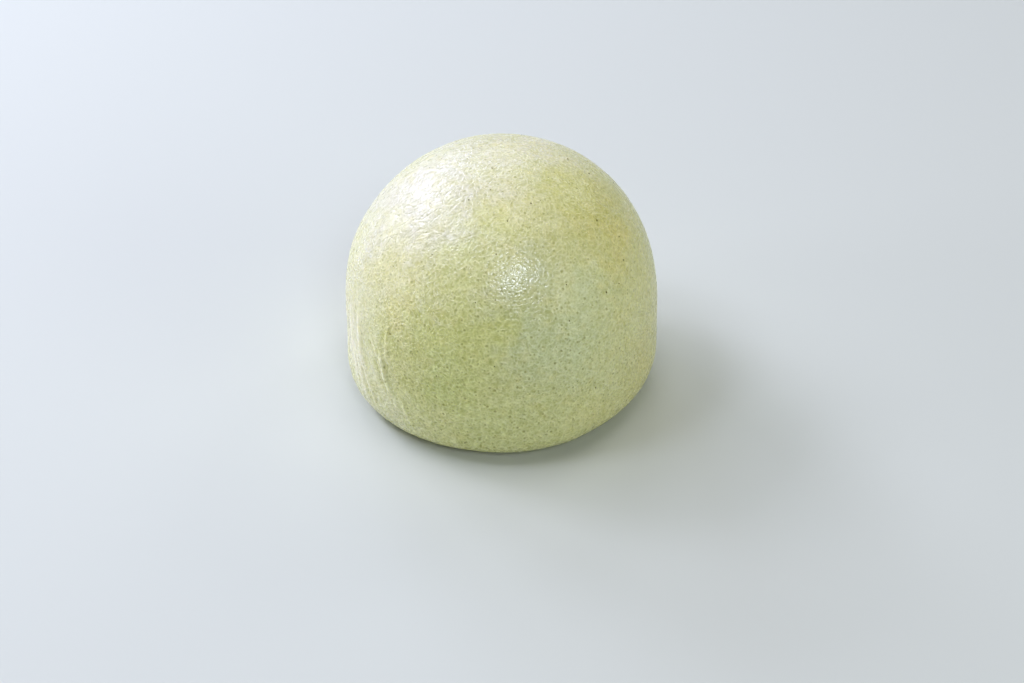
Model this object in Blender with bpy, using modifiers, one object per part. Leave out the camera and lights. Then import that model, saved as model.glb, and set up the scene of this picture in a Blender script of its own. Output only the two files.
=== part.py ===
"""Steamed manju: one large uncut bun of pale green dough.

A dome over a nearly upright side, with a tucked-in foot and a flat underside where it was
steamed. Metres, +Z up. The origin is the middle of the underside, and the front faces -Y.
"""

import math

import bpy

# Driving dimensions, in metres
BUN_WIDTH = 0.066  # across the waist, the widest level
BUN_HEIGHT = 0.0544
WAIST_HEIGHT = 0.0184
BASE_WIDTH = 0.0502  # across the flat that the bun rests on

# Fullness of the outline, as superellipse exponents: 2 is a plain ellipse, more is squarer
DOME_FULLNESS = 2.15
FOOT_FULLNESS = 5.36

# The soft dough set slightly to one side: drift towards +X for each metre above the waist
LEAN = 0.0139

# Soft dents (below zero) and swells that the shaping hands left in the side:
# azimuth from +X in degrees, height, reach along the skin, outward move
HAND_MARKS = (
    (184, 0.0170, 0.0080, -0.00045),  # left side, at the waist
    (200, 0.0050, 0.0060, 0.00025),  # left foot
    (173, 0.0306, 0.0090, 0.00020),  # left shoulder
    (316, 0.0034, 0.0080, -0.00035),  # right front foot
    (351, 0.0085, 0.0070, 0.00040),  # right foot
    (62, 0.0210, 0.0100, -0.00040),  # back, right of the middle
    (118, 0.0090, 0.0080, 0.00030),  # back foot
)

# Fineness of the turned outline
DOME_STEPS = 26  # crown to waist
FOOT_STEPS = 12  # waist to underside
TURN_STEPS = 80

DOUGH_COLOUR = (0.60, 0.61, 0.31, 1.0)
DOUGH_ROUGHNESS = 0.5

COLLECTION = "manju"
MERGE_DISTANCE = 0.00001


def clear_scene():
    for scene_object in list(bpy.data.objects):
        bpy.data.objects.remove(scene_object, do_unlink=True)


def superellipse_point(polar_angle, half_width, half_height, fullness):
    """Radius and height on a superellipse, with the polar angle counted from the vertical."""
    across = math.sin(polar_angle)
    up = max(math.cos(polar_angle), 0.0)
    distance = (
        (across / half_width) ** fullness + (up / half_height) ** fullness
    ) ** (-1 / fullness)
    return distance * across, distance * up


def foot_depth():
    """Half height of the foot's superellipse, whose cut at the underside is BASE_WIDTH wide."""
    base_share = BASE_WIDTH / BUN_WIDTH
    return WAIST_HEIGHT / (1 - base_share**FOOT_FULLNESS) ** (1 / FOOT_FULLNESS)


def foot_edge_angle():
    """Polar angle at which the foot's outline meets the underside."""
    return math.atan2(BASE_WIDTH / 2, WAIST_HEIGHT)


def bun_outline():
    """Radius and height of the turned outline, from the crown down to the underside's middle."""
    half_width = BUN_WIDTH / 2
    dome_height = BUN_HEIGHT - WAIST_HEIGHT
    outline = [(0.0, BUN_HEIGHT)]
    for step in range(1, DOME_STEPS + 1):
        radius, rise = superellipse_point(
            math.pi / 2 * step / DOME_STEPS, half_width, dome_height, DOME_FULLNESS
        )
        outline.append((radius, WAIST_HEIGHT + rise))
    foot_start, foot_end = math.pi / 2, foot_edge_angle()
    for step in range(1, FOOT_STEPS):
        angle = foot_start + (foot_end - foot_start) * step / FOOT_STEPS
        radius, drop = superellipse_point(
            angle, half_width, foot_depth(), FOOT_FULLNESS
        )
        outline.append((radius, WAIST_HEIGHT - drop))
    outline.append((BASE_WIDTH / 2, 0.0))
    outline.append((0.0, 0.0))
    return outline


def turned_mesh(outline):
    """Mesh of the outline turned once round Z."""
    profile = bpy.data.meshes.new("bun_outline")
    points = [(radius, 0.0, height) for radius, height in outline]
    edges = [(index, index + 1) for index in range(len(points) - 1)]
    profile.from_pydata(points, edges, [])
    turning = bpy.data.objects.new("bun_turning", profile)
    bpy.context.scene.collection.objects.link(turning)
    screw = turning.modifiers.new("turn", "SCREW")
    screw.axis = "Z"
    screw.angle = 2 * math.pi
    screw.steps = TURN_STEPS
    screw.render_steps = TURN_STEPS
    screw.use_merge_vertices = True
    screw.merge_threshold = MERGE_DISTANCE
    evaluated = turning.evaluated_get(bpy.context.evaluated_depsgraph_get())
    mesh = bpy.data.meshes.new_from_object(evaluated)
    bpy.data.objects.remove(turning, do_unlink=True)
    bpy.data.meshes.remove(profile)
    return mesh


def hand_mark_move(azimuth, height):
    """Outward move of the side, in metres, from all the hand marks together."""
    move = 0.0
    for mark_azimuth, mark_height, reach, depth in HAND_MARKS:
        turn = (azimuth - math.radians(mark_azimuth) + math.pi) % (
            2 * math.pi
        ) - math.pi
        along = turn * BUN_WIDTH / 2
        distance = math.hypot(along, height - mark_height)
        move += depth * math.exp(-((distance / reach) ** 2))
    return move


def shape_by_hand(mesh):
    """Lean the turned bun, and press the hand marks into its side. Heights stay as they are."""
    for vertex in mesh.vertices:
        radius = math.hypot(vertex.co.x, vertex.co.y)
        height = vertex.co.z
        if radius > BASE_WIDTH / 4:
            azimuth = math.atan2(vertex.co.y, vertex.co.x)
            scale = 1 + hand_mark_move(azimuth, height) / radius
            vertex.co.x *= scale
            vertex.co.y *= scale
        vertex.co.x += LEAN * (height - WAIST_HEIGHT)


def dough_material():
    material = bpy.data.materials.new("steamed_dough")
    material.use_nodes = True
    shader = material.node_tree.nodes["Principled BSDF"]
    shader.inputs["Base Color"].default_value = DOUGH_COLOUR
    shader.inputs["Roughness"].default_value = DOUGH_ROUGHNESS
    shader.inputs["Metallic"].default_value = 0.0
    return material


def make_bun(collection):
    mesh = turned_mesh(bun_outline())
    mesh.name = "bun"
    shape_by_hand(mesh)
    mesh.shade_smooth()
    mesh.materials.clear()
    mesh.materials.append(dough_material())
    bun = bpy.data.objects.new("bun", mesh)
    collection.objects.link(bun)
    return bun


def main():
    clear_scene()
    collection = bpy.data.collections.new(COLLECTION)
    bpy.context.scene.collection.children.link(collection)
    make_bun(collection)


main()
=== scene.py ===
"""Looks of the steamed manju: its leathery green skin, the leaf flecks in it, and the studio."""

import math

import bpy
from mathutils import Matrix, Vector
from mathutils.bvhtree import BVHTree


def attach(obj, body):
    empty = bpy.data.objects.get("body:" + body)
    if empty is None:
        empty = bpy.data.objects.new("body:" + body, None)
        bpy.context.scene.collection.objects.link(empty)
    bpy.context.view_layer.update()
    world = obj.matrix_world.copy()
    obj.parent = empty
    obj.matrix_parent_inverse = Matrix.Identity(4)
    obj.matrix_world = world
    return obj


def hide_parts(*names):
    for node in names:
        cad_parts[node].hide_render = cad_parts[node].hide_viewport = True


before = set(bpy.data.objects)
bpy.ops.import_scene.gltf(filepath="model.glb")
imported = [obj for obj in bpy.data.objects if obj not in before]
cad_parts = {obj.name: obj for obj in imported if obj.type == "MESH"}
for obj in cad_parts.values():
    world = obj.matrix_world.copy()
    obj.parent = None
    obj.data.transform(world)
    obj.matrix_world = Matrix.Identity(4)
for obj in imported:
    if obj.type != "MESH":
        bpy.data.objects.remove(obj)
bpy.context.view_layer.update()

# ---------------------------------------------------------------- sizes, in metres

MILLIMETRE = 0.001

# Outline of the bun, the same as that of the solid that the skin replaces
BUN_WIDTH = 0.066  # across the waist, the widest level
BUN_HEIGHT = 0.0544
WAIST_HEIGHT = 0.0184
BASE_WIDTH = 0.0502  # across the flat that the bun rests on
DOME_FULLNESS = 2.15  # superellipse exponent: 2 is a plain ellipse, more is squarer
FOOT_FULLNESS = 5.36
LEAN = 0.0139  # drift towards +X for each metre above the waist

# Soft dents (below zero) and swells left by the shaping hands:
# azimuth from +X in degrees, height, reach along the skin, outward move
HAND_MARKS = (
    (184, 0.0170, 0.0080, -0.00045),
    (200, 0.0050, 0.0060, 0.00025),
    (173, 0.0306, 0.0090, 0.00020),
    (316, 0.0034, 0.0080, -0.00035),
    (351, 0.0085, 0.0070, 0.00040),
    (62, 0.0210, 0.0100, -0.00040),
    (118, 0.0090, 0.0080, 0.00030),
)
UNPRESSED_CORE = (BASE_WIDTH / 8, BASE_WIDTH / 4)  # radii between which the marks set in

QUADS_PER_SIDE = 126  # of the cube that is blown up into the skin
BAKE_MAP = "OFBake"
CHART_FILL = 0.97  # share of its cell that each side of the cube fills in the flat map

# Relief of the skin, from broad to fine: distance between lumps, and how far they move it.
# The mesh carries the first four, and the shader's bump the rest.
SWELL_SIZE, SWELL = 22 * MILLIMETRE, 0.22 * MILLIMETRE
DIMPLE_SIZE, DIMPLES = 7 * MILLIMETRE, 0.09 * MILLIMETRE
LUMP_SIZE, LUMPS = 2.2 * MILLIMETRE, 0.036 * MILLIMETRE
PEBBLE_SIZE, PEBBLES = 1.2 * MILLIMETRE, 0.034 * MILLIMETRE
SHOULDER_LUMP_SIZE, SHOULDER_LUMPS = LUMP_SIZE * 0.7, LUMPS * 1.6
GRAIN_SIZE, GRAIN = 1.05 * MILLIMETRE, 0.034 * MILLIMETRE
FINE_GRAIN_SIZE, FINE_GRAIN = 0.45 * MILLIMETRE, 0.018 * MILLIMETRE

# Stretch creases: where the side of the dough was drawn down and round as it was shaped
CREASE_SIZE, CREASES = 3.2 * MILLIMETRE, 0.20 * MILLIMETRE
CREASE_STRETCH = 6.0  # times as long as wide
CREASE_DRIFT = 0.5  # sideways for each step down the side
CREASE_NARROWNESS = 3.0
FINE_CREASE_SIZE, FINE_CREASE_SHARE, FINE_CREASE_NARROWNESS = CREASE_SIZE * 0.45, 0.3, 2.0
CREASE_MIDDLE = 0.5  # the level of their relief that leaves the skin where it is
CREASE_BUMP = 0.15  # of their height that the bump adds to the mesh's
CREASED_SIDE = 213  # azimuth of the strongest patch, in degrees from +X
CREASED_REACH = (10, 34)  # degrees to each side of it, where they are whole and where they end
CREASED_BACK, CREASED_BACK_REACH = 75, (90, 130)  # the same for the weak patches at the back
BACK_PATCH_SIZE, BACK_CREASES = 18 * MILLIMETRE, 0.7
BACK_PATCH_EDGE = (-0.1, 0.7)  # noise at which a weak patch starts, and is whole

# Folds in the side: azimuth from +X in degrees and height of the upper end, height of the
# lower end, drift and bend towards larger azimuths on the way down, half width, and rise
FOLDS = (
    (221, 0.0228, 0.0118, 0.24, 0.10, 0.60 * MILLIMETRE, 0.70 * MILLIMETRE),
    (215, 0.0238, 0.0185, 1.00, 0.00, 0.44 * MILLIMETRE, 0.36 * MILLIMETRE),
    (208, 0.0165, 0.0055, 1.00, -0.45, 0.60 * MILLIMETRE, 0.40 * MILLIMETRE),
    (218, 0.0232, 0.0150, 0.40, 0.00, 0.44 * MILLIMETRE, 0.36 * MILLIMETRE),
    (203, 0.0185, 0.0065, 0.47, 0.00, 0.95 * MILLIMETRE, 0.27 * MILLIMETRE),
    (205, 0.0295, 0.0130, 0.12, 0.05, 1.00 * MILLIMETRE, 0.26 * MILLIMETRE),
    (224, 0.0295, 0.0210, 0.06, 0.00, 0.51 * MILLIMETRE, 0.29 * MILLIMETRE),
    (196, 0.0245, 0.0070, 0.30, 0.10, 1.10 * MILLIMETRE, 0.26 * MILLIMETRE),
    (185, 0.0215, 0.0060, 0.24, 0.06, 1.20 * MILLIMETRE, 0.24 * MILLIMETRE),
    (231, 0.0140, 0.0060, 0.45, 0.00, 0.48 * MILLIMETRE, 0.29 * MILLIMETRE),
    (122, 0.0265, 0.0075, -0.16, 0.06, 1.30 * MILLIMETRE, 0.24 * MILLIMETRE),
    (56, 0.0230, 0.0110, 0.22, 0.00, 1.10 * MILLIMETRE, 0.16 * MILLIMETRE),
)
FOLD_WAVER_SIZE, FOLD_WAVER = 4 * MILLIMETRE, 0.5 * MILLIMETRE
FOLD_SIDE = (BUN_WIDTH * 0.15, BUN_WIDTH * 0.3)  # how far out a fold starts, and is whole
FOLD_VALLEYS, FOLD_VALLEY_FALL = 0.4, 0.18  # depth as a share of the rise, and how steep
FOLD_BUMP = 0.4  # of their height that the bump adds to the mesh's

# Zones of the skin: azimuth and rise of the middle in degrees, seen from the middle of the
# waist level, and reach in degrees
GLOSSY_SHOULDER = (202, 54, 28)  # drawn smooth
PALE_FLANK = (203, 1, 20)  # drawn thin and dry
DAMP_SPOT = (276, 44, 15)
GLINT_SIZE, GLINTS = 0.47 * MILLIMETRE, 0.042 * MILLIMETRE  # puckers of the damp film
LEATHERY_SIDE = 210  # azimuth where the grain is strongest, in degrees

# How much of a pattern is gone in the middle of a zone
GRAIN_LOST = {"shoulder": 0.55, "flank": 0.75, "damp": 0.6}
PORES_LOST = {"shoulder": 0.5, "flank": 0.6}
BLOTCHES_LOST_AT_SHOULDER = 0.6

# Ramps: from and to which height, in metres, and the strengths at the two
RELIEF_BY_HEIGHT = (0.3 * MILLIMETRE, 2.5 * MILLIMETRE)  # the underside stays flat
LUMPS_BY_HEIGHT = (2 * MILLIMETRE, 20 * MILLIMETRE, 0.5, 1.0)
CREASES_SET_IN = (1 * MILLIMETRE, 5 * MILLIMETRE)
CREASES_DIE_OUT = (18 * MILLIMETRE, 34 * MILLIMETRE, 1.0, 0.0)
GRAIN_BY_HEIGHT = (0.35 * BUN_HEIGHT, 0.85 * BUN_HEIGHT, 1.12, 0.91)
PORES_BY_HEIGHT = (0.45 * BUN_HEIGHT, 0.85 * BUN_HEIGHT, 1.3, 1.0)
BLOTCHES_BY_HEIGHT = (0.6 * BUN_HEIGHT, 0.8 * BUN_HEIGHT, 0.5, 1.0)
FLECKS_BY_HEIGHT = (0.5 * MILLIMETRE, 3 * MILLIMETRE)

# Ramps by the cosine of the turn from the leathery side
GRAIN_BY_TURN = (-0.3, 0.95, 0.87, 1.22)
PORES_BY_TURN = (-0.8, 0.2, 0.75, 1.0)

# Wrinkles across the shoulder: the way they run, and how many times as long as wide
WRINKLE_SIZE, WRINKLES = 1.6 * MILLIMETRE, 0.065 * MILLIMETRE
WRINKLE_WAY = (0.81, 0.20, 0.55)
WRINKLE_STRETCH = 2.2
WRINKLE_STIR_SIZE, WRINKLE_STIR = WRINKLE_SIZE * 2, WRINKLE_SIZE * 1.4
WRINKLE_VALLEY = (0.0, 0.24, 1.0, 0.0)  # ramp from the zero lines of a wave to its crests

# Streaks down the pale flank: distance apart, and how many times as long as wide
STREAK_SIZE = 2.6 * MILLIMETRE
STREAK_STRETCH = 6.0

# Curls of the grain, as ramps from the zero lines of a wave to its crests
CURL_CREST = (0.0, 0.24, 1.0, -0.25)
CURL_HOLLOW = (0.28, 0.55, 0.0, 0.75)
SMALL_CURL_SIZE, SMALL_CURLS = GRAIN_SIZE * 0.7, 0.6

# Pores: distance between them, radius as a share of that, and how dark they are, partly their
# own olive and partly painted shade in the pits
PORE_SIZE, PORE_RADIUS, PORE_DARKNESS = 1.5 * MILLIMETRE, 0.24, 0.55
SMALL_PORE_SIZE, SMALL_PORE_RADIUS, SMALL_PORE_DARKNESS = PORE_SIZE * 0.6, 0.30, 0.45
PORE_FLOOR = 0.5  # share of the radius that is fully dark
RING_START, RING_CREST, RING_END = 0.9, 1.4, 2.2  # pale ring round a pore, in radii
PORE_LUCK = (0.1, 1.0)  # the luck of the weakest pore and the strongest, from 0 to 1
PORE_DEPTH, SMALL_PORE_DEPTH = 0.020 * MILLIMETRE, 0.6  # the latter as a share of the former
RING_RISE = 0.008 * MILLIMETRE

# Flecks of leaf that stick out of the skin: width of the smallest and the largest strewn one,
# least distance between two, most to a square metre, and thickness as a share of the width
FLECK_WIDTHS = (0.16 * MILLIMETRE, 0.36 * MILLIMETRE)
FLECK_GAP = 2.6 * MILLIMETRE
FLECKS_PER_SQUARE_METRE = 9000
FLECK_FLATNESS = 0.45
FLECK_RARITY = 3.0  # power that makes large flecks rarer than small ones
FLECK_NARROWING = (0.65, 1.0)
FLECK_SPIN = 17.0  # radians, over all the flecks
FLECK_TEAR_SIZE = 1.5  # distance between the tears, in widths of the smallest
FLECK_SEGMENTS, FLECK_RINGS = 7, 4

# The largest flecks of the front: azimuth and rise in degrees, seen from the middle of the
# waist level, and width in millimetres
MARKED_FLECKS = (
    (316, 31, 0.50),
    (332, 52, 0.46),
    (297, 68, 0.42),
    (306, -3, 0.42),
    (20, 66, 0.42),
    (238, 85, 0.36),
    (275, 63, 0.36),
    (268, 52, 0.34),
    (332, 36, 0.38),
    (334, 31, 0.32),
    (243, 24, 0.32),
    (247, 7, 0.36),
    (299, 39, 0.36),
    (258, 75, 0.32),
    (226, 16, 0.36),
    (235, 48, 0.30),
    (268, 14, 0.34),
    (213, 62, 0.32),
    (260, 36, 0.30),
    (257, -21, 0.34),
    (222, -2, 0.30),
    (297, 27, 0.36),
)

# ---------------------------------------------------------------- node writing


SEED_STEP = 1.37  # metres, far more than the bun's size


class Wire:
    """A value in a node tree, which arithmetic and the functions below combine."""

    def __init__(self, tree, socket, vector=False):
        self.tree = tree
        self.socket = socket
        self.vector = vector

    def _with(self, operation, other, swapped=False):
        pair = (other, self) if swapped else (self, other)
        if self.vector or is_vector(other):
            return vector_math(self.tree, operation, *pair)
        return number_math(self.tree, operation, *pair)

    def __add__(self, other):
        return self._with("ADD", other)

    def __radd__(self, other):
        return self._with("ADD", other, swapped=True)

    def __sub__(self, other):
        return self._with("SUBTRACT", other)

    def __rsub__(self, other):
        return self._with("SUBTRACT", other, swapped=True)

    def __mul__(self, other):
        return self._with("MULTIPLY", other)

    def __truediv__(self, other):
        return self._with("DIVIDE", other)

    def __rtruediv__(self, other):
        return self._with("DIVIDE", other, swapped=True)

    def __neg__(self):
        return self * -1.0

    def __pow__(self, other):
        return number_math(self.tree, "POWER", self, other)


def is_vector(value):
    return isinstance(value, (tuple, Vector)) or getattr(value, "vector", False)


def connect(tree, socket, value):
    """Link a wire to a socket, or set the socket to a plain value."""
    if isinstance(value, Wire):
        tree.links.new(value.socket, socket)
    elif socket.type == "VECTOR" and not is_vector(value):
        socket.default_value = (value,) * 3
    else:
        socket.default_value = value


def add_node(tree, kind, inputs=(), **settings):
    node = tree.nodes.new(kind)
    for name, value in settings.items():
        setattr(node, name, value)
    for key, value in dict(inputs).items():
        connect(tree, node.inputs[key], value)
    return node


def number_math(tree, operation, *values):
    node = add_node(
        tree, "ShaderNodeMath", enumerate(values), operation=operation
    )
    return Wire(tree, node.outputs[0])


def vector_math(tree, operation, *values, gives="Vector"):
    node = add_node(
        tree, "ShaderNodeVectorMath", enumerate(values), operation=operation
    )
    return Wire(tree, node.outputs[gives], vector=gives == "Vector")


def length(vector):
    return vector_math(vector.tree, "LENGTH", vector, gives="Value")


def maximum(first, second):
    return number_math(first.tree, "MAXIMUM", first, second)


def minimum(first, second):
    return number_math(first.tree, "MINIMUM", first, second)


def absolute(wire):
    return number_math(wire.tree, "ABSOLUTE", wire)


def split(vector):
    node = add_node(vector.tree, "ShaderNodeSeparateXYZ", {0: vector})
    return tuple(Wire(vector.tree, socket) for socket in node.outputs)


def join(tree, x, y, z):
    node = add_node(tree, "ShaderNodeCombineXYZ", {0: x, 1: y, 2: z})
    return Wire(tree, node.outputs[0], vector=True)


def ramp(wire, start, end, low=0.0, high=1.0, smooth=True):
    """Low up to start, high from end on, and between them in between."""
    node = add_node(
        wire.tree,
        "ShaderNodeMapRange",
        {0: wire, 1: start, 2: end, 3: low, 4: high},
        interpolation_type="SMOOTHSTEP" if smooth else "LINEAR",
        clamp=True,
    )
    return Wire(wire.tree, node.outputs[0])


def shifted(at, seed):
    """Place in a pattern that differs from seed to seed."""
    return at + (seed * SEED_STEP, 0.0, 0.0)


def noise(at, size, detail=0.0, seed=0):
    """Soft noise from -1 to 1 whose lumps are about size apart."""
    node = add_node(
        at.tree,
        "ShaderNodeTexNoise",
        {
            "Vector": shifted(at, seed),
            "Scale": 1.0 / size,
            "Detail": detail,
        },
        noise_dimensions="3D",
    )
    return (Wire(at.tree, node.outputs["Fac"]) - 0.5) * 2.0


def coloured_noise(at, size):
    """Three soft noises from 0 to 1 as one vector."""
    node = add_node(
        at.tree,
        "ShaderNodeTexNoise",
        {"Vector": at, "Scale": 1.0 / size, "Detail": 0.0},
        noise_dimensions="3D",
    )
    return Wire(at.tree, node.outputs["Color"], vector=True)


def centred_noise(at, size):
    """Three soft noises from -0.5 to 0.5 as one vector."""
    return coloured_noise(at, size) - (0.5, 0.5, 0.5)


def cells(at, size, seed=0):
    """Distance to the nearest of points strewn about size apart, in sizes, and its own luck."""
    node = add_node(
        at.tree,
        "ShaderNodeTexVoronoi",
        {"Vector": shifted(at, seed), "Scale": 1.0 / size},
        voronoi_dimensions="3D",
        feature="F1",
    )
    luck = split(Wire(at.tree, node.outputs["Color"], True))[0]
    return Wire(at.tree, node.outputs["Distance"]), luck


def towards(azimuth):
    """Level direction at an azimuth in degrees from +X."""
    angle = math.radians(azimuth)
    return (math.cos(angle), math.sin(angle), 0.0)


def aim(azimuth, rise):
    """Direction at an azimuth from +X and a rise above the level, in degrees."""
    level = Vector(towards(azimuth)) * math.cos(math.radians(rise))
    return level + Vector((0.0, 0.0, math.sin(math.radians(rise))))


def dot(vector, other):
    return vector_math(vector.tree, "DOT_PRODUCT", vector, other, gives="Value")


def facing(at, azimuth):
    """Cosine of the turn between a point of the side and an azimuth."""
    level = vector_math(at.tree, "MULTIPLY", at, (1.0, 1.0, 0.0))
    return dot(vector_math(at.tree, "NORMALIZE", level), towards(azimuth))


def within(at, azimuth, full, none):
    """1 within full degrees of an azimuth, and 0 past none degrees from it."""
    turn = facing(at, azimuth)
    return ramp(turn, math.cos(math.radians(none)), math.cos(math.radians(full)))


# ---------------------------------------------------------------- patterns of the skin


def from_middle(at):
    """Direction of a point from the middle of the waist level."""
    return vector_math(at.tree, "NORMALIZE", at - (0.0, 0.0, WAIST_HEIGHT))


def patch_mask(direction, azimuth, rise, reach):
    """1 in the middle of a patch, fading to 0 at about twice its reach."""
    away = 1.0 - dot(direction, tuple(aim(azimuth, rise)))
    return number_math(
        direction.tree, "EXPONENT", away / -(1.0 - math.cos(math.radians(reach)))
    )


def creased_patches(at):
    """Where the side is creased: most at one flank, and in weak patches round the back."""
    height = split(at)[2]
    side = ramp(height, *CREASES_SET_IN) * ramp(height, *CREASES_DIE_OUT)
    flank = within(at, CREASED_SIDE, *CREASED_REACH)
    patchy = ramp(noise(at, BACK_PATCH_SIZE, seed=11), *BACK_PATCH_EDGE)
    elsewhere = patchy * within(at, CREASED_BACK, *CREASED_BACK_REACH) * BACK_CREASES
    return maximum(flank, elsewhere) * side


def ridge(wave, narrowness):
    """Crest along the lines where a wave is zero, the thinner the larger its narrowness."""
    return maximum(1.0 - absolute(wave), 0.0) ** narrowness


def stretch_creases(at):
    """Height of the creases, from 0 to 1, before they are kept to their patches."""
    height = split(at)[2]
    turned = add_node(
        at.tree,
        "ShaderNodeVectorRotate",
        {"Vector": at, "Angle": height * (2 * CREASE_DRIFT / BUN_WIDTH)},
        rotation_type="Z_AXIS",
    )
    drawn = Wire(at.tree, turned.outputs[0], True) * (1.0, 1.0, 1.0 / CREASE_STRETCH)
    broad = ridge(noise(drawn, CREASE_SIZE, detail=1.0, seed=3), CREASE_NARROWNESS)
    fine = ridge(noise(drawn, FINE_CREASE_SIZE, seed=5), FINE_CREASE_NARROWNESS)
    return broad * (1.0 - FINE_CREASE_SHARE) + fine * FINE_CREASE_SHARE


def folds(at):
    """Height of the named folds, in metres: a crest with a shallow valley on each side."""
    height = split(at)[2]
    waver = noise(at, FOLD_WAVER_SIZE, seed=12) * FOLD_WAVER
    total = 0.0
    for azimuth, top, bottom, drift, bend, half_width, rise in FOLDS:
        down = top - height
        share = down / (top - bottom)
        taper = maximum(share * (1.0 - share) * 4.0, 0.0)  # 1 halfway down
        same_side = ramp(dot(at, towards(azimuth)), *FOLD_SIDE)
        along = dot(at, towards(azimuth + 90)) + waver
        off = (along - down * (share * bend + drift)) / half_width
        spread = off * off
        crest = number_math(at.tree, "EXPONENT", -spread)
        valleys = number_math(at.tree, "EXPONENT", spread * -FOLD_VALLEY_FALL)
        total = (crest - valleys * FOLD_VALLEYS) * (taper * same_side * rise) + total
    return total


def broad_relief(at):
    """Outward move of the skin, in metres, coarse enough for its mesh to carry."""
    lumpiness = ramp(split(at)[2], *LUMPS_BY_HEIGHT)
    return (
        noise(at, SWELL_SIZE, seed=21) * SWELL
        + noise(at, DIMPLE_SIZE, seed=22) * DIMPLES
        + noise(at, LUMP_SIZE, detail=1.0, seed=23) * lumpiness * LUMPS
        + noise(at, PEBBLE_SIZE, seed=24) * PEBBLES
        + (stretch_creases(at) - CREASE_MIDDLE) * creased_patches(at) * CREASES
        + folds(at)
    )


def streaks(at):
    """Broad soft streaks down the side."""
    return noise(at * (1.0, 1.0, 1.0 / STREAK_STRETCH), STREAK_SIZE, detail=1.0, seed=29)


def wrinkles(at):
    """Narrow valleys between the wrinkles of the shoulder, 1 at their bottoms."""
    along = dot(at, WRINKLE_WAY) * (1.0 / WRINKLE_STRETCH - 1.0)
    shortened = at + join(at.tree, *(along * part for part in WRINKLE_WAY))
    stirred = shortened + coloured_noise(at, WRINKLE_STIR_SIZE) * WRINKLE_STIR
    wave = absolute(noise(stirred, WRINKLE_SIZE, seed=28))
    return ramp(wave, *WRINKLE_VALLEY) * patch_mask(from_middle(at), *GLOSSY_SHOULDER)


def curls(at, size, seed):
    """Thin pale curls, 1 at their crests, round hollows down to -1."""
    wave = absolute(noise(at, size, seed=seed))
    return ramp(wave, *CURL_CREST) - ramp(wave, *CURL_HOLLOW)


def grain(at):
    """Leathery grain of the skin, too fine for its mesh."""
    stirred = at + centred_noise(at, GRAIN_SIZE * 2) * GRAIN_SIZE
    small = curls(at, SMALL_CURL_SIZE, seed=27)
    return curls(stirred, GRAIN_SIZE, seed=25) + small * SMALL_CURLS


def fine_grain(at):
    return noise(at, FINE_GRAIN_SIZE, seed=26)


def pores(at, size, radius, seed):
    """Round dots, 1 in their middles, and pale rings round them.

    The radius of a dot is given as a share of the distance between the dots.
    """
    distance, luck = cells(at, size, seed)
    strength = ramp(luck, *PORE_LUCK, smooth=False)
    pore = ramp(distance, radius * PORE_FLOOR, radius, 1.0, 0.0)
    ring = ramp(distance, radius * RING_START, radius * RING_CREST) * ramp(
        distance, radius * RING_CREST, radius * RING_END, 1.0, 0.0
    )
    return pore * strength, ring * strength


def bun_surface(tree, direction, sizes):
    """Point of the bare bun in a direction from the middle of its waist level."""
    x, y, up = split(direction)
    across = length(join(tree, x, y, 0.0))
    half_width = sizes["Width"] / 2.0
    dome_height = sizes["Height"] - sizes["Waist Height"]
    base_share = sizes["Base Width"] / sizes["Width"]
    fullness = sizes["Foot Fullness"]
    foot_depth = sizes["Waist Height"] / (1.0 - base_share**fullness) ** (
        1.0 / fullness
    )

    def superellipse(rise, half_height, power):
        terms = (across / half_width) ** power + (rise / half_height) ** power
        return terms ** (-1.0 / power)

    least = 0.00001  # neither half is worked out at its other half's pole
    dome = superellipse(maximum(up, least), dome_height, sizes["Dome Fullness"])
    drop = maximum(-up, least)
    foot = minimum(
        superellipse(drop, foot_depth, fullness), sizes["Waist Height"] / drop
    )
    is_dome = number_math(tree, "GREATER_THAN", up, 0.0)
    distance = dome * is_dome + foot * (1.0 - is_dome)
    return direction * distance + join(tree, 0.0, 0.0, sizes["Waist Height"])


def hand_shaping(tree, at, sizes):
    """Sideways move of the bare bun: the hand marks, and the lean about the waist."""
    x, y, height = split(at)
    flat = join(tree, x, y, 0.0)
    outwards = vector_math(tree, "NORMALIZE", flat)
    move = 0.0
    for azimuth, mark_height, reach, depth in HAND_MARKS:
        turn = number_math(tree, "ARCCOSINE", minimum(facing(at, azimuth), 1.0))
        along = turn * (BUN_WIDTH / 2)
        rise = height - mark_height
        spread = (along * along + rise * rise) / reach**2
        move = number_math(tree, "EXPONENT", -spread) * depth + move
    side_only = ramp(length(flat), *UNPRESSED_CORE)
    lean = (height - sizes["Waist Height"]) * sizes["Lean"]
    return outwards * (move * side_only) + join(tree, lean, 0.0, 0.0)


# ---------------------------------------------------------------- geometry node trees


def new_tree(name, numbers, materials=(), objects=()):
    """A geometry tree with named inputs. Gives the tree and a wire for each of them."""
    tree = bpy.data.node_groups.new(name, "GeometryNodeTree")
    tree.interface.new_socket(
        name="Geometry", in_out="INPUT", socket_type="NodeSocketGeometry"
    )
    tree.interface.new_socket(
        name="Geometry", in_out="OUTPUT", socket_type="NodeSocketGeometry"
    )
    for key, value in numbers.items():
        whole = isinstance(value, int)
        kind = "NodeSocketInt" if whole else "NodeSocketFloat"
        tree.interface.new_socket(name=key, in_out="INPUT", socket_type=kind)
    for key in materials:
        tree.interface.new_socket(
            name=key, in_out="INPUT", socket_type="NodeSocketMaterial"
        )
    for key in objects:
        tree.interface.new_socket(
            name=key, in_out="INPUT", socket_type="NodeSocketObject"
        )
    source = tree.nodes.new("NodeGroupInput")
    names = ("Geometry", *numbers, *materials, *objects)
    return tree, {key: Wire(tree, source.outputs[key]) for key in names}


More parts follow.
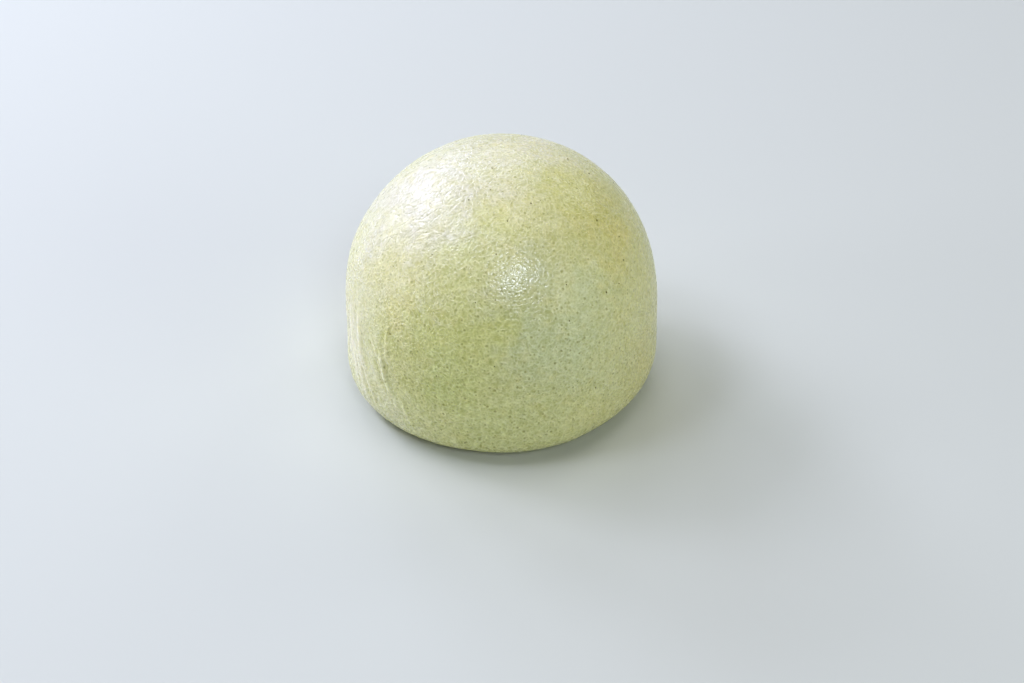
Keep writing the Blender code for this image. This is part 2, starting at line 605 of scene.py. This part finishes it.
def finish_tree(tree, geometry, material):
    """End a tree in Realize Instances and Set Material."""
    realized = add_node(tree, "GeometryNodeRealizeInstances", {0: geometry})
    painted = add_node(
        tree,
        "GeometryNodeSetMaterial",
        {"Geometry": Wire(tree, realized.outputs[0]), "Material": material},
    )
    sink = tree.nodes.new("NodeGroupOutput")
    tree.links.new(painted.outputs[0], sink.inputs[0])


def grown(name, tree, values, start_mesh=None):
    """Plain mesh object that the tree makes from a start mesh with these input values."""
    mesh = start_mesh or bpy.data.meshes.new(name + "_start")
    seedling = bpy.data.objects.new(name + "_seedling", mesh)
    bpy.context.scene.collection.objects.link(seedling)
    modifier = seedling.modifiers.new("grow", "NODES")
    modifier.node_group = tree
    for item in tree.interface.items_tree:
        if item.in_out == "INPUT" and item.name in values:
            modifier[item.identifier] = values[item.name]
    evaluated = seedling.evaluated_get(bpy.context.evaluated_depsgraph_get())
    plain = bpy.data.meshes.new_from_object(evaluated)
    plain.name = name
    while plain.materials[0] is None:
        plain.materials.pop(index=0)
    bpy.data.objects.remove(seedling, do_unlink=True)
    piece = bpy.data.objects.new(name, plain)
    bpy.context.scene.collection.objects.link(piece)
    return piece


def stored(tree, geometry, name, value, data_type="FLOAT", domain="POINT"):
    node = add_node(
        tree,
        "GeometryNodeStoreNamedAttribute",
        {"Geometry": geometry, "Name": name, "Value": value},
        data_type=data_type,
        domain=domain,
    )
    return Wire(tree, node.outputs[0])


def random_number(tree, low, high, seed):
    node = add_node(
        tree, "FunctionNodeRandomValue", {2: low, 3: high, 8: seed}, data_type="FLOAT"
    )
    return Wire(tree, node.outputs[1])


SKIN_SIZES = {
    "Width": BUN_WIDTH,
    "Height": BUN_HEIGHT,
    "Waist Height": WAIST_HEIGHT,
    "Base Width": BASE_WIDTH,
    "Dome Fullness": DOME_FULLNESS,
    "Foot Fullness": FOOT_FULLNESS,
    "Lean": LEAN,
    "Quads Per Side": QUADS_PER_SIDE,
}

FLECK_SIZES = {
    "Smallest": FLECK_WIDTHS[0],
    "Largest": FLECK_WIDTHS[1],
    "Gap": FLECK_GAP,
    "Density": FLECKS_PER_SQUARE_METRE,
    "Flatness": FLECK_FLATNESS,
    "Seed": 4,
}


def cube_charts(tree, position):
    """Flat map of a cube of size 2: its six sides in a grid of three by two, not mirrored."""
    centre = add_node(
        tree,
        "GeometryNodeFieldOnDomain",
        {"Value": position},
        data_type="FLOAT_VECTOR",
        domain="FACE",
    )
    side = split(Wire(tree, centre.outputs[0], True))
    at = split(position)
    on_side = 0.9999
    chart = join(tree, 0.0, 0.0, 0.0)
    charts = (
        # axis, sign, column, row, and what runs along the map's two axes
        (0, 1, 0, 0, at[1], at[2]),
        (1, 1, 1, 0, -at[0], at[2]),
        (0, -1, 2, 0, -at[1], at[2]),
        (1, -1, 0, 1, at[0], at[2]),
        (2, 1, 1, 1, at[0], at[1]),
        (2, -1, 2, 1, at[0], -at[1]),
    )
    for axis, sign, column, row, along, up in charts:
        here = number_math(tree, "GREATER_THAN", side[axis] * sign, on_side)
        across_map = (along * (CHART_FILL / 2) + (column + 0.5)) / 3.0
        up_map = (up * (CHART_FILL / 2) + (row + 0.5)) / 2.0
        chart = chart + join(tree, across_map, up_map, 0.0) * here
    return chart


def skin_tree():
    tree, inputs = new_tree("bun_skin_tree", SKIN_SIZES, ["Dough"])
    points = inputs["Quads Per Side"] + 1.0
    cube = add_node(
        tree,
        "GeometryNodeMeshCube",
        {"Size": 2.0, "Vertices X": points, "Vertices Y": points, "Vertices Z": points},
    )
    position = Wire(tree, add_node(tree, "GeometryNodeInputPosition").outputs[0], True)
    mapped = stored(
        tree,
        Wire(tree, cube.outputs["Mesh"]),
        BAKE_MAP,
        cube_charts(tree, position),
        data_type="FLOAT2",
        domain="CORNER",
    )
    even = vector_math(tree, "TANGENT", position * (math.pi / 4))
    direction = vector_math(tree, "NORMALIZE", even)
    bare = bun_surface(tree, direction, inputs)
    blown = add_node(
        tree,
        "GeometryNodeSetPosition",
        {"Geometry": mapped, "Position": bare},
    )
    shaped = add_node(
        tree,
        "GeometryNodeSetPosition",
        {
            "Geometry": Wire(tree, blown.outputs[0]),
            "Offset": hand_shaping(tree, position, inputs),
        },
    )
    normal = Wire(tree, add_node(tree, "GeometryNodeInputNormal").outputs[0], True)
    off_the_base = ramp(split(position)[2], *RELIEF_BY_HEIGHT)
    textured = add_node(
        tree,
        "GeometryNodeSetPosition",
        {
            "Geometry": Wire(tree, shaped.outputs[0]),
            "Offset": normal * (broad_relief(position) * off_the_base),
        },
    )
    smooth = add_node(
        tree, "GeometryNodeSetShadeSmooth", {0: Wire(tree, textured.outputs[0])}
    )
    finish_tree(tree, Wire(tree, smooth.outputs[0]), inputs["Dough"])
    return tree


def fleck_tree():
    """Flat chips of leaf on the start mesh's points and strewn on the skin, half sunk in it."""
    tree, inputs = new_tree("leaf_flecks_tree", FLECK_SIZES, ["Leaf"], ["Skin"])
    skin = add_node(tree, "GeometryNodeObjectInfo", {"Object": inputs["Skin"]})
    skin_mesh = Wire(tree, skin.outputs["Geometry"])
    position = Wire(tree, add_node(tree, "GeometryNodeInputPosition").outputs[0], True)
    normal = Wire(tree, add_node(tree, "GeometryNodeInputNormal").outputs[0], True)

    strewn = add_node(
        tree,
        "GeometryNodeDistributePointsOnFaces",
        {
            "Mesh": skin_mesh,
            "Distance Min": inputs["Gap"],
            "Density Max": inputs["Density"],
            "Density Factor": ramp(split(position)[2], *FLECKS_BY_HEIGHT),
            "Seed": inputs["Seed"],
        },
        distribute_method="POISSON",
    )
    luck = random_number(tree, 0.0, 1.0, seed=1)
    larger = (inputs["Largest"] - inputs["Smallest"]) * luck**FLECK_RARITY
    width = inputs["Smallest"] + larger
    strewn_points = stored(tree, Wire(tree, strewn.outputs[0]), "width", width)
    marked = add_node(tree, "GeometryNodeMeshToPoints", {"Mesh": inputs["Geometry"]})
    points = tree.nodes.new("GeometryNodeJoinGeometry")
    tree.links.new(marked.outputs[0], points.inputs[0])
    tree.links.new(strewn_points.socket, points.inputs[0])

    outwards = add_node(
        tree,
        "GeometryNodeSampleNearestSurface",
        {"Mesh": skin_mesh, "Value": normal, "Sample Position": position},
        data_type="FLOAT_VECTOR",
    )
    spin = add_node(
        tree, "FunctionNodeEulerToRotation", {0: join(tree, 0.0, 0.0, luck * FLECK_SPIN)}
    )
    stood = add_node(
        tree,
        "FunctionNodeAlignRotationToVector",
        {"Vector": Wire(tree, outwards.outputs[0], True)},
        axis="Z",
    )
    turned = add_node(
        tree,
        "FunctionNodeRotateRotation",
        {0: Wire(tree, stood.outputs[0]), 1: Wire(tree, spin.outputs[0])},
        rotation_space="LOCAL",
    )
    chip = add_node(
        tree,
        "GeometryNodeMeshUVSphere",
        {"Segments": FLECK_SEGMENTS, "Rings": FLECK_RINGS, "Radius": 0.5},
    )
    named = add_node(
        tree, "GeometryNodeInputNamedAttribute", {"Name": "width"}, data_type="FLOAT"
    )
    across = Wire(tree, named.outputs[0])
    narrowing = random_number(tree, *FLECK_NARROWING, seed=2)
    chips = add_node(
        tree,
        "GeometryNodeInstanceOnPoints",
        {
            "Points": Wire(tree, points.outputs[0]),
            "Instance": Wire(tree, chip.outputs["Mesh"]),
            "Rotation": Wire(tree, turned.outputs[0]),
            "Scale": join(tree, across, across * narrowing, across * inputs["Flatness"]),
        },
    )
    loose = add_node(
        tree, "GeometryNodeRealizeInstances", {0: Wire(tree, chips.outputs[0])}
    )
    torn = centred_noise(position, inputs["Smallest"] * FLECK_TEAR_SIZE)
    ragged = add_node(
        tree,
        "GeometryNodeSetPosition",
        {"Geometry": Wire(tree, loose.outputs[0]), "Offset": torn * inputs["Smallest"]},
    )
    finish_tree(tree, Wire(tree, ragged.outputs[0]), inputs["Leaf"])
    return tree


# ---------------------------------------------------------------- finishes


def new_material(name):
    material = bpy.data.materials.new(name)
    material.use_nodes = True
    tree = material.node_tree
    shader = tree.nodes["Principled BSDF"]
    coordinates = tree.nodes.new("ShaderNodeTexCoord")
    return material, tree, shader, Wire(tree, coordinates.outputs["Object"], True)


def blended(factor, first, second, blend="MIX"):
    """Colour between two colours, or the second laid on the first."""
    tree = factor.tree
    node = tree.nodes.new("ShaderNodeMix")
    node.data_type = "RGBA"
    node.blend_type = blend
    factor_socket, first_socket, second_socket = (node.inputs[index] for index in (0, 6, 7))
    connect(tree, factor_socket, factor)
    connect(tree, first_socket, first)
    connect(tree, second_socket, second)
    return Wire(tree, node.outputs[2])


def bumped(shader, height):
    """Give a shader the fine relief that its mesh is too coarse for, in metres."""
    node = add_node(
        height.tree, "ShaderNodeBump", {"Height": height, "Distance": 1.0, "Strength": 1.0}
    )
    height.tree.links.new(node.outputs[0], shader.inputs["Normal"])
    height.tree.links.new(node.outputs[0], shader.inputs["Coat Normal"])


# Colours of the dough, from the photo
DOUGH = (0.66, 0.665, 0.315, 1.0)
DOUGH_DEEP = (0.635, 0.645, 0.215, 1.0)  # thin skin over damp, leaf-rich dough
DOUGH_GREEN = (0.615, 0.655, 0.225, 1.0)
DOUGH_COOL = (0.625, 0.66, 0.335, 1.0)
DOUGH_LIME = (0.71, 0.74, 0.285, 1.0)
DOUGH_GOLDEN = (0.70, 0.665, 0.255, 1.0)
DOUGH_AMBER = (0.71, 0.645, 0.23, 1.0)
DOUGH_CREAM_AND_HIGHLIGHT = (0.685, 0.65, 0.475, 1.0)  # pale cream, and over the shoulder a painted highlight
# pale yellow; on the left limb a painted rim highlight
DOUGH_PALE_YELLOW_AND_RIM_LIGHT = (0.725, 0.69, 0.395, 1.0)
# pale yellow; at the top's back edge and on the left limb a painted rim highlight
DOUGH_PALE = (0.79, 0.76, 0.48, 1.0)
DOUGH_DULL = (0.58, 0.61, 0.29, 1.0)
# bluish white of a painted glint on the damp spot
PAINTED_GLINT_TINT = (0.64, 0.67, 0.43, 1.0)
DOUGH_OLIVE = (0.60, 0.595, 0.20, 1.0)
# olive of the pores, also darkening them as painted shade in the pits
PORE_GREEN = (0.25, 0.245, 0.03, 1.0)
LEAF_GREEN = (0.095, 0.100, 0.010, 1.0)
LEAF_BROWN = (0.115, 0.085, 0.010, 1.0)

# Patches of other colours: azimuth and rise of the middle in degrees, seen from the middle
# of the waist level, reach in degrees, how much of the colour, and the colour
PATCHES = (
    # Painted highlight: the cream over the shoulder stands in for the window's reflection
    (192, 56, 30, 0.95, DOUGH_CREAM_AND_HIGHLIGHT),
    (100, 80, 24, 0.35, DOUGH_CREAM_AND_HIGHLIGHT),
    # Painted rim light along the top's back edge, where light from behind catches it
    (50, 75, 14, 0.9, DOUGH_PALE),
    (15, 58, 9, 0.4, DOUGH_PALE),
    (345, 72, 5, 0.35, DOUGH_PALE),
    (270, 64, 11, 0.35, DOUGH_GOLDEN),
    (251, 75, 5, 0.4, DOUGH_PALE),
    (217, 38, 13, 0.8, DOUGH_GOLDEN),
    (214, 50, 8, 0.8, DOUGH_PALE),
    (255, 45, 9, 0.6, DOUGH_PALE_YELLOW_AND_RIM_LIGHT),
    (252, 45, 9, 0.25, DOUGH_GOLDEN),
    (250, 44, 8, 0.25, DOUGH_PALE),
    (256, 41, 9, 0.55, DOUGH_LIME),
    (252, 55, 7, 0.35, DOUGH_LIME),
    # More of the painted highlight at the top of the shoulder
    (230, 73, 9, 0.4, DOUGH_CREAM_AND_HIGHLIGHT),
    # Painted rim highlight on the left limb
    (189, 24, 10, 0.35, DOUGH_PALE),
    # Painted glint: bluish white over the damp spot's shine
    (279, 44, 7, 0.4, PAINTED_GLINT_TINT),
    # Painted rim highlight down the lower left limb
    (198, 5, 16, 0.9, DOUGH_PALE_YELLOW_AND_RIM_LIGHT),
    (215, 32, 10, 0.4, DOUGH_PALE_YELLOW_AND_RIM_LIGHT),
    # Painted rim highlight down to the foot of the left limb
    (200, -2, 9, 0.8, DOUGH_PALE),
    (209, -11, 8, 0.8, DOUGH_PALE),
    (231, -14, 10, 0.4, DOUGH_PALE),
    (243, 26, 14, 0.85, DOUGH_DEEP),
    (262, 20, 12, 0.8, DOUGH_DEEP),
    (228, 27, 5, 0.5, DOUGH_AMBER),
    (237, 30, 4, 0.4, DOUGH_PALE),
    (248, 4, 14, 0.8, DOUGH_GREEN),
    (265, -16, 26, 0.5, DOUGH_GREEN),
    (274, 58, 6, 0.5, DOUGH_DEEP),
    (296, 18, 17, 1.0, DOUGH_COOL),
    (281, 24, 9, 0.9, DOUGH_COOL),
    (308, 32, 10, 0.8, DOUGH_DULL),
    (232, 11, 8, 0.6, DOUGH_OLIVE),
    (236, 4, 8, 0.4, DOUGH_OLIVE),
    (269, 21, 6, 0.5, DOUGH_DEEP),
    (336, 52, 13, 0.7, DOUGH_AMBER),
    (338, 61, 8, 0.6, DOUGH_OLIVE),
    (332, 42, 8, 0.5, DOUGH_AMBER),
    (335, -10, 14, 0.5, DOUGH_AMBER),
    (30, 20, 24, 0.7, DOUGH_DEEP),
    (130, 15, 22, 0.7, DOUGH_GREEN),
    (85, 35, 16, 0.7, DOUGH_AMBER),
)


# Broad clouds and small warm spots of other colours: distance apart, and how much of them
CLOUD_SIZE, CLOUDS = 12 * MILLIMETRE, 0.5
WARM_SPOT_SIZE, WARM_SPOTS = 2.8 * MILLIMETRE, 0.25
PATCH_WAVER_SIZE, PATCH_WAVER = 9 * MILLIMETRE, 0.35
PATCH_FRINGE_SIZE, PATCH_FRINGE = 2.5 * MILLIMETRE, 0.22


def dough_colour(at):
    """Broad patches of colour, with wavering edges; some are a painted highlight, a painted
    glint and painted rim light.
    """
    waver = centred_noise(at, PATCH_WAVER_SIZE) * PATCH_WAVER
    fringe = centred_noise(at, PATCH_FRINGE_SIZE) * PATCH_FRINGE
    direction = vector_math(at.tree, "NORMALIZE", from_middle(at) + waver + fringe)
    cloud = noise(at, CLOUD_SIZE, detail=2.0, seed=31)
    colour = blended(ramp(cloud, -0.5, 0.5) * CLOUDS, DOUGH, DOUGH_GOLDEN)
    for azimuth, rise, reach, amount, patch_colour in PATCHES:
        mask = patch_mask(direction, azimuth, rise, reach) * amount
        colour = blended(mask, colour, patch_colour)
    warm_spots = ramp(noise(at, WARM_SPOT_SIZE, detail=1.0, seed=34), 0.0, 0.6)
    return blended(warm_spots * WARM_SPOTS, colour, DOUGH_AMBER)


def lightened(colour, amount, green_share, blue_share):
    """Colour made lighter or darker: red by the amount, green and blue by shares of it."""
    factors = join(
        amount.tree, amount + 1.0, amount * green_share + 1.0, amount * blue_share + 1.0
    )
    return blended(amount * 0.0 + 1.0, colour, factors, blend="MULTIPLY")


# How much lighter the dough is at the crests of each pattern, as a share of its colour,
# and how the green and the blue follow the red. For the grain, creases, folds and wrinkles
# this is painted light on their crests and painted shade in their hollows
BLOTCH_SIZE, BLOTCH_SHADE, BLOTCH_TINT = 2.4 * MILLIMETRE, 0.075, (0.88, 2.8)
BLOTCHY_REACH = (30, 60)  # degrees from the creased side, whole and none
MOTTLE_SIZE, MOTTLE_SHADE = 1.4 * MILLIMETRE, 0.04
# grain: partly its own mottle, partly painted shade in its hollows and painted light on its
# curls
GRAIN_SHADE = 0.10
FINE_GRAIN_SHADE = 0.16
RING_SHADE = 0.08
# painted light on the crease ridges, painted shade between them
CREASE_SHADE = 0.09
STREAK_SHADE = 0.14
FOLD_SHADE, FOLD_SHADE_RISE = 0.14, 0.1 * MILLIMETRE  # painted light on the crests and painted shade in the valleys; the rise that has this shade
WRINKLE_SHADE = 0.05  # painted shade: how much darker their valleys are
SHADE_TINT = (0.96, 1.7)

# Gloss and depth of the dough
DOUGH_ROUGHNESS = 0.27
MOTTLE_ROUGHNESS = 0.05
SHOULDER_ROUGHNESS = 0.03
DAMP_SMOOTHNESS = 0.12
DAMP_FILM_ROUGHNESS = 0.27
DAMP_FILM_IOR = 1.65
TRANSLUCENCE = 0.3
LIGHT_REACH = (1.0, 0.9, 0.45)  # of red, green and blue inside the dough, in steps
LIGHT_REACH_STEP = 0.9 * MILLIMETRE

LEAF_TINT_SIZE = 1.5 * MILLIMETRE  # distance between green and brown
LEAF_ROUGHNESS, LEAF_DULLNESS = 0.7, 0.2
LEAF_SPECULAR = 0.05

FLOOR_COLOUR = (0.60, 0.62, 0.54, 1.0)
FLOOR_ROUGHNESS = 0.7


def skin_zones(at):
    """How much a point belongs to the glossy shoulder, the pale flank and the damp spot."""
    direction = from_middle(at)
    zones = (GLOSSY_SHOULDER, PALE_FLANK, DAMP_SPOT)
    return tuple(patch_mask(direction, *zone) for zone in zones)


def grain_strength(at, shoulder, flank):
    """Strength of the leathery grain: most on the leathery side, and low down."""
    by_height = ramp(split(at)[2], *GRAIN_BY_HEIGHT)
    by_turn = ramp(facing(at, LEATHERY_SIDE), *GRAIN_BY_TURN)
    off_shoulder = 1.0 - shoulder * GRAIN_LOST["shoulder"]
    off_flank = 1.0 - flank * GRAIN_LOST["flank"]
    return by_height * by_turn * off_shoulder * off_flank


def pore_strength(at, shoulder, flank):
    """Strength of the pores: most low down, and less at the back and where drawn smooth."""
    by_height = ramp(split(at)[2], *PORES_BY_HEIGHT)
    by_turn = ramp(facing(at, LEATHERY_SIDE), *PORES_BY_TURN)
    off_shoulder = 1.0 - shoulder * PORES_LOST["shoulder"]
    off_flank = 1.0 - flank * PORES_LOST["flank"]
    return by_height * (off_shoulder * off_flank) * by_turn


def blotches(at, shoulder):
    """Soft blotches, most lively at the top and on the creased flank."""
    top = ramp(split(at)[2], *BLOTCHES_BY_HEIGHT)
    liveliness = maximum(top, within(at, CREASED_SIDE, *BLOTCHY_REACH))
    blotch = noise(at, BLOTCH_SIZE, detail=1.0, seed=33) * liveliness
    return blotch * (1.0 - shoulder * BLOTCHES_LOST_AT_SHOULDER)


def dough_finish():
    """Leathery, porous, slightly translucent skin, with a damp film over one spot."""
    material, tree, shader, at = new_material("steamed_dough")
    shoulder, flank, damp = skin_zones(at)
    leather = grain_strength(at, shoulder, flank)
    openness = pore_strength(at, shoulder, flank)
    large_pores, large_rings = pores(at, PORE_SIZE, PORE_RADIUS, seed=41)
    small_pores, small_rings = pores(at, SMALL_PORE_SIZE, SMALL_PORE_RADIUS, seed=42)
    rings = large_rings + small_rings
    coarse_grain = grain(at)
    finest_grain = fine_grain(at)
    drawn = stretch_creases(at) * creased_patches(at)
    creased = wrinkles(at)
    raised = folds(at)
    mottle = noise(at, MOTTLE_SIZE, seed=32)

    # The dough's own mottle and streaks and the pale rings round the pores, with painted light
    # on the crests and painted shade in the hollows of the grain, creases, folds and wrinkles
    shade = (
        mottle * MOTTLE_SHADE
        + (coarse_grain * GRAIN_SHADE + finest_grain * FINE_GRAIN_SHADE) * leather
        + rings * RING_SHADE
        + drawn * CREASE_SHADE
        + streaks(at) * flank * STREAK_SHADE
        + raised * (1.0 / FOLD_SHADE_RISE) * FOLD_SHADE
        - creased * WRINKLE_SHADE
    )
    colour = dough_colour(at)
    colour = lightened(colour, blotches(at, shoulder) * BLOTCH_SHADE, *BLOTCH_TINT)
    colour = lightened(colour, shade, *SHADE_TINT)
    colour = blended(large_pores * openness * PORE_DARKNESS, colour, PORE_GREEN)
    colour = blended(small_pores * openness * SMALL_PORE_DARKNESS, colour, PORE_GREEN)
    roughness = (
        DOUGH_ROUGHNESS
        + mottle * MOTTLE_ROUGHNESS
        + shoulder * SHOULDER_ROUGHNESS
        - damp * DAMP_SMOOTHNESS
    )
    pits = (large_pores + small_pores * SMALL_PORE_DEPTH) * openness * PORE_DEPTH
    film_free = 1.0 - damp * GRAIN_LOST["damp"]

    connect(tree, shader.inputs["Base Color"], colour)
    connect(tree, shader.inputs["Roughness"], roughness)
    shader.inputs["Subsurface Weight"].default_value = TRANSLUCENCE
    shader.inputs["Subsurface Radius"].default_value = LIGHT_REACH
    shader.inputs["Subsurface Scale"].default_value = LIGHT_REACH_STEP
    connect(tree, shader.inputs["Coat Weight"], damp)
    shader.inputs["Coat Roughness"].default_value = DAMP_FILM_ROUGHNESS
    shader.inputs["Coat IOR"].default_value = DAMP_FILM_IOR
    bumped(
        shader,
        (coarse_grain * GRAIN + finest_grain * FINE_GRAIN) * (leather * film_free)
        + noise(at, SHOULDER_LUMP_SIZE, seed=30) * shoulder * SHOULDER_LUMPS
        + drawn * (CREASES * CREASE_BUMP)
        + raised * FOLD_BUMP
        + rings * RING_RISE
        - pits
        - creased * WRINKLES
        + noise(at, GLINT_SIZE, seed=45) * damp * GLINTS,
    )
    return material


def leaf_finish():
    """Dull chopped leaf, from green to brown."""
    material, tree, shader, at = new_material("leaf_flecks")
    greenness = ramp(noise(at, LEAF_TINT_SIZE, seed=51), -0.5, 0.5)
    colour = blended(greenness, LEAF_BROWN, LEAF_GREEN)
    connect(tree, shader.inputs["Base Color"], colour)
    connect(tree, shader.inputs["Roughness"], LEAF_ROUGHNESS + greenness * LEAF_DULLNESS)
    shader.inputs["Specular IOR Level"].default_value = LEAF_SPECULAR
    return material


def floor_finish():
    material = bpy.data.materials.new("pale_floor")
    material.use_nodes = True
    shader = material.node_tree.nodes["Principled BSDF"]
    shader.inputs["Base Color"].default_value = FLOOR_COLOUR
    shader.inputs["Roughness"].default_value = FLOOR_ROUGHNESS
    return material


# ---------------------------------------------------------------- pieces

FLOOR_WIDTH = 4.0


def make_skin():
    dough = dough_finish()
    skin = grown("bun_skin", skin_tree(), {**SKIN_SIZES, "Dough": dough})
    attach(skin, "root")
    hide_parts("bun")
    return skin


def marked_fleck_points(skin):
    """Bare mesh of the largest flecks' places on the skin, with their widths."""
    surface = BVHTree.FromPolygons(
        [vertex.co for vertex in skin.data.vertices],
        [tuple(face.vertices) for face in skin.data.polygons],
    )
    middle = Vector((0.0, 0.0, WAIST_HEIGHT))
    places = []
    for azimuth, rise, _ in MARKED_FLECKS:
        places.append(surface.ray_cast(middle, aim(azimuth, rise))[0])
    mesh = bpy.data.meshes.new("leaf_fleck_points")
    mesh.from_pydata(places, [], [])
    widths = mesh.attributes.new("width", "FLOAT", "POINT")
    for place, (_, _, width) in zip(widths.data, MARKED_FLECKS):
        place.value = width * MILLIMETRE
    return mesh


def make_leaf_flecks(skin):
    inputs = {**FLECK_SIZES, "Leaf": leaf_finish(), "Skin": skin}
    points = marked_fleck_points(skin)
    flecks = grown("leaf_flecks", fleck_tree(), inputs, points)
    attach(flecks, "root")


def make_floor():
    bpy.ops.mesh.primitive_plane_add(size=FLOOR_WIDTH)
    floor = bpy.context.object
    floor.name = "floor"
    floor.data.materials.append(floor_finish())


# ---------------------------------------------------------------- studio

CAMERA_TARGET = Vector((0.00237, 0.01087, 0.0))
CAMERA_DISTANCE = 0.53246
CAMERA_ELEVATION = math.radians(37.1)
CAMERA_LENS = 85.0  # millimetres, on a sensor of this width
CAMERA_SENSOR_WIDTH = 36.0


def make_camera():
    camera = bpy.data.objects.new("camera", bpy.data.cameras.new("camera"))
    back = Vector((0.0, -math.cos(CAMERA_ELEVATION), math.sin(CAMERA_ELEVATION)))
    camera.location = CAMERA_TARGET + back * CAMERA_DISTANCE
    camera.rotation_euler = (math.pi / 2 - CAMERA_ELEVATION, 0.0, 0.0)
    camera.data.lens = CAMERA_LENS
    camera.data.sensor_width = CAMERA_SENSOR_WIDTH
    bpy.context.scene.collection.objects.link(camera)
    bpy.context.scene.camera = camera


# Soft boxes: azimuth and elevation in degrees, distance, width, height, watts and colour
SOFT_BOXES = {
    "window": (150, 40, 0.9, 0.24, 0.24, 2.85, (0.742, 0.754, 1.0)),
    "window_top": (160, 58, 0.9, 0.24, 0.24, 0.72, (0.74, 0.76, 1.0)),
    "window_low": (150, 8, 0.9, 0.24, 0.24, 1.04, (0.69, 0.75, 1.0)),
    "window_middle": (130, 24, 0.9, 0.24, 0.24, 2.68, (0.72, 0.76, 1.0)),
    "window_back": (110, 24, 0.9, 0.24, 0.24, 1.44, (0.65, 0.72, 1.0)),
    "window_end": (90, 40, 0.9, 0.24, 0.24, 0.70, (0.77, 0.78, 1.0)),
    "side_top": (195, 58, 0.9, 0.24, 0.24, 2.04, (0.73, 0.77, 1.0)),
    "side_middle": (170, 40, 0.9, 0.24, 0.24, 0.77, (0.75, 0.78, 1.0)),
    "side_low": (190, 8, 0.9, 0.24, 0.24, 1.95, (0.78, 0.79, 1.0)),
    "ceiling": (0, 85, 0.9, 0.50, 0.50, 2.24, (1.0, 0.98, 0.99)),
    "back_right": (48, 32, 0.9, 0.24, 0.24, 0.70, (0.90, 0.92, 1.0)),
    "front": (283, 42, 0.9, 0.19, 0.19, 1.86, (0.775, 0.835, 1.0)),
    "card": (330, 15, 0.9, 0.50, 0.50, 1.92, (0.94, 1.0, 0.93)),
}
LIT_POINT = Vector((0.0, 0.0, 0.03))
ROOM_COLOUR, ROOM_STRENGTH = (0.92, 0.96, 1.0, 1.0), 0.02


def soft_light(name, azimuth, elevation, distance, width, height, watts, colour):
    """Rectangular area light, placed by its direction from the bun and facing it."""
    light = bpy.data.lights.new(name, "AREA")
    light.shape = "RECTANGLE"
    light.size = width
    light.size_y = height
    light.energy = watts
    light.color = colour
    lamp = bpy.data.objects.new(name, light)
    direction = aim(azimuth, elevation)
    lamp.location = LIT_POINT + direction * distance
    lamp.rotation_euler = direction.to_track_quat("Z", "Y").to_euler()
    bpy.context.scene.collection.objects.link(lamp)


def make_light():
    for name, box in SOFT_BOXES.items():
        soft_light(name, *box)
    world = bpy.data.worlds.new("room")
    world.use_nodes = True
    background = world.node_tree.nodes["Background"]
    background.inputs["Color"].default_value = ROOM_COLOUR
    background.inputs["Strength"].default_value = ROOM_STRENGTH
    bpy.context.scene.world = world
    bpy.context.scene.view_settings.view_transform = "Standard"


make_camera()
make_floor()
bun_skin = make_skin()
make_leaf_flecks(bun_skin)
make_light()
